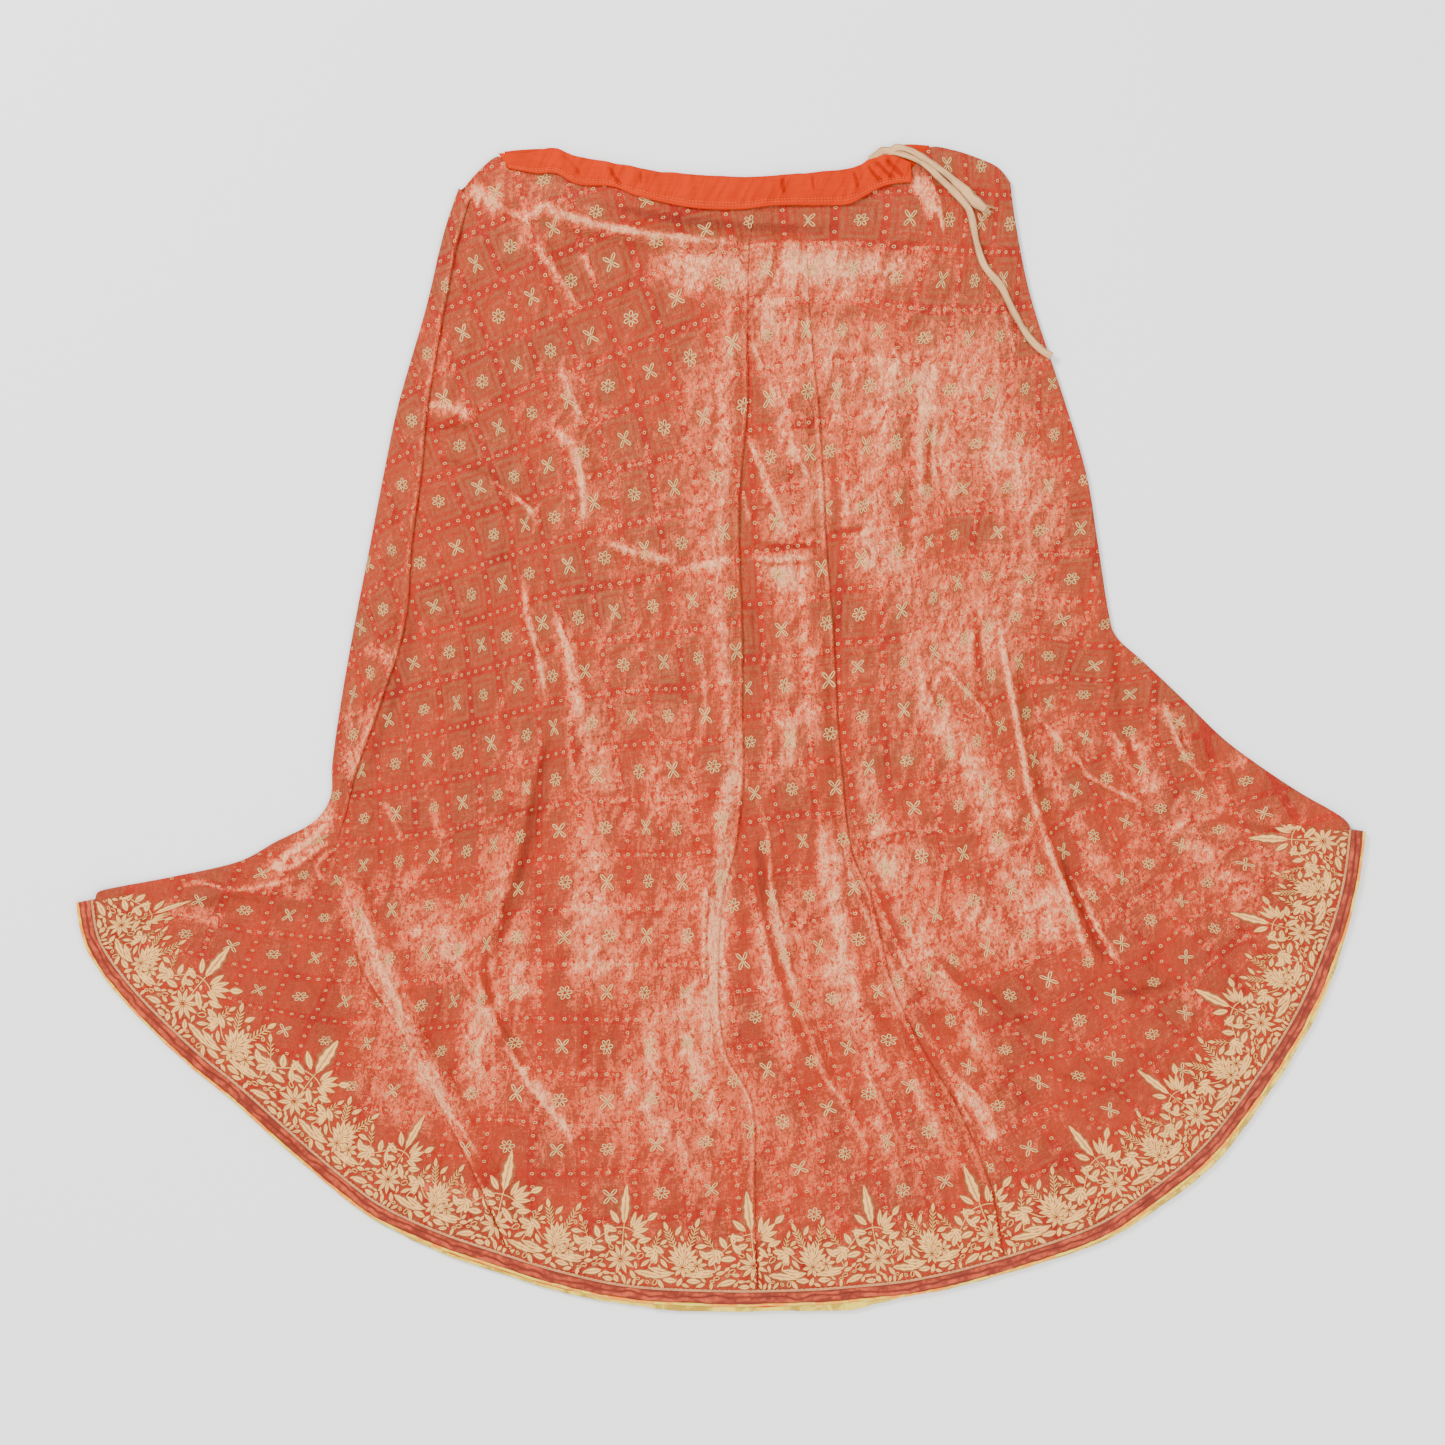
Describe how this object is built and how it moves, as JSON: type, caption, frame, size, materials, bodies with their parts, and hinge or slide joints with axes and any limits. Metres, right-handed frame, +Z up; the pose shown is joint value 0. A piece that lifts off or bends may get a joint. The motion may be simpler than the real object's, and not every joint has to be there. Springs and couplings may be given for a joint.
{
  "type": "lehenga skirt",
  "caption": "Flared red tissue-silk lehenga skirt laid flat, with an orange drawstring waistband, a side slit, woven and embroidered grid, floral hem border and corded piping",
  "frame": {"origin": "centre of the skirt's plan, on the surface that it lies on", "axes": "+X to the right as the picture shows it, +Y towards the waistband, +Z up from the surface, through the front"},
  "size_m": [1.1497, 1.0479, 0.0108],
  "materials": {
    "tissue_silk": "crushed tissue silk, soft sheen",
    "band_cotton": "plain cotton",
    "piping_cloth": "plain weave over cord",
    "lining_cloth": "plain lining",
    "edging_satin": "satin",
    "tape_cotton": "woven tape"
  },
  "bodies": {
    "root": {"side_piece_left": "tissue_silk", "front_left_gore": "tissue_silk", "front_centre_gore": "tissue_silk", "front_right_gore": "tissue_silk", "back_panel": "tissue_silk", "waistband_front": "band_cotton", "waistband_back": "band_cotton", "hem_piping_front": "piping_cloth", "hem_piping_back": "piping_cloth", "lining_hem": "lining_cloth", "lining_edging": "edging_satin", "drawstring_long": "tape_cotton", "drawstring_short": "tape_cotton"}
  },
  "joints": []
}
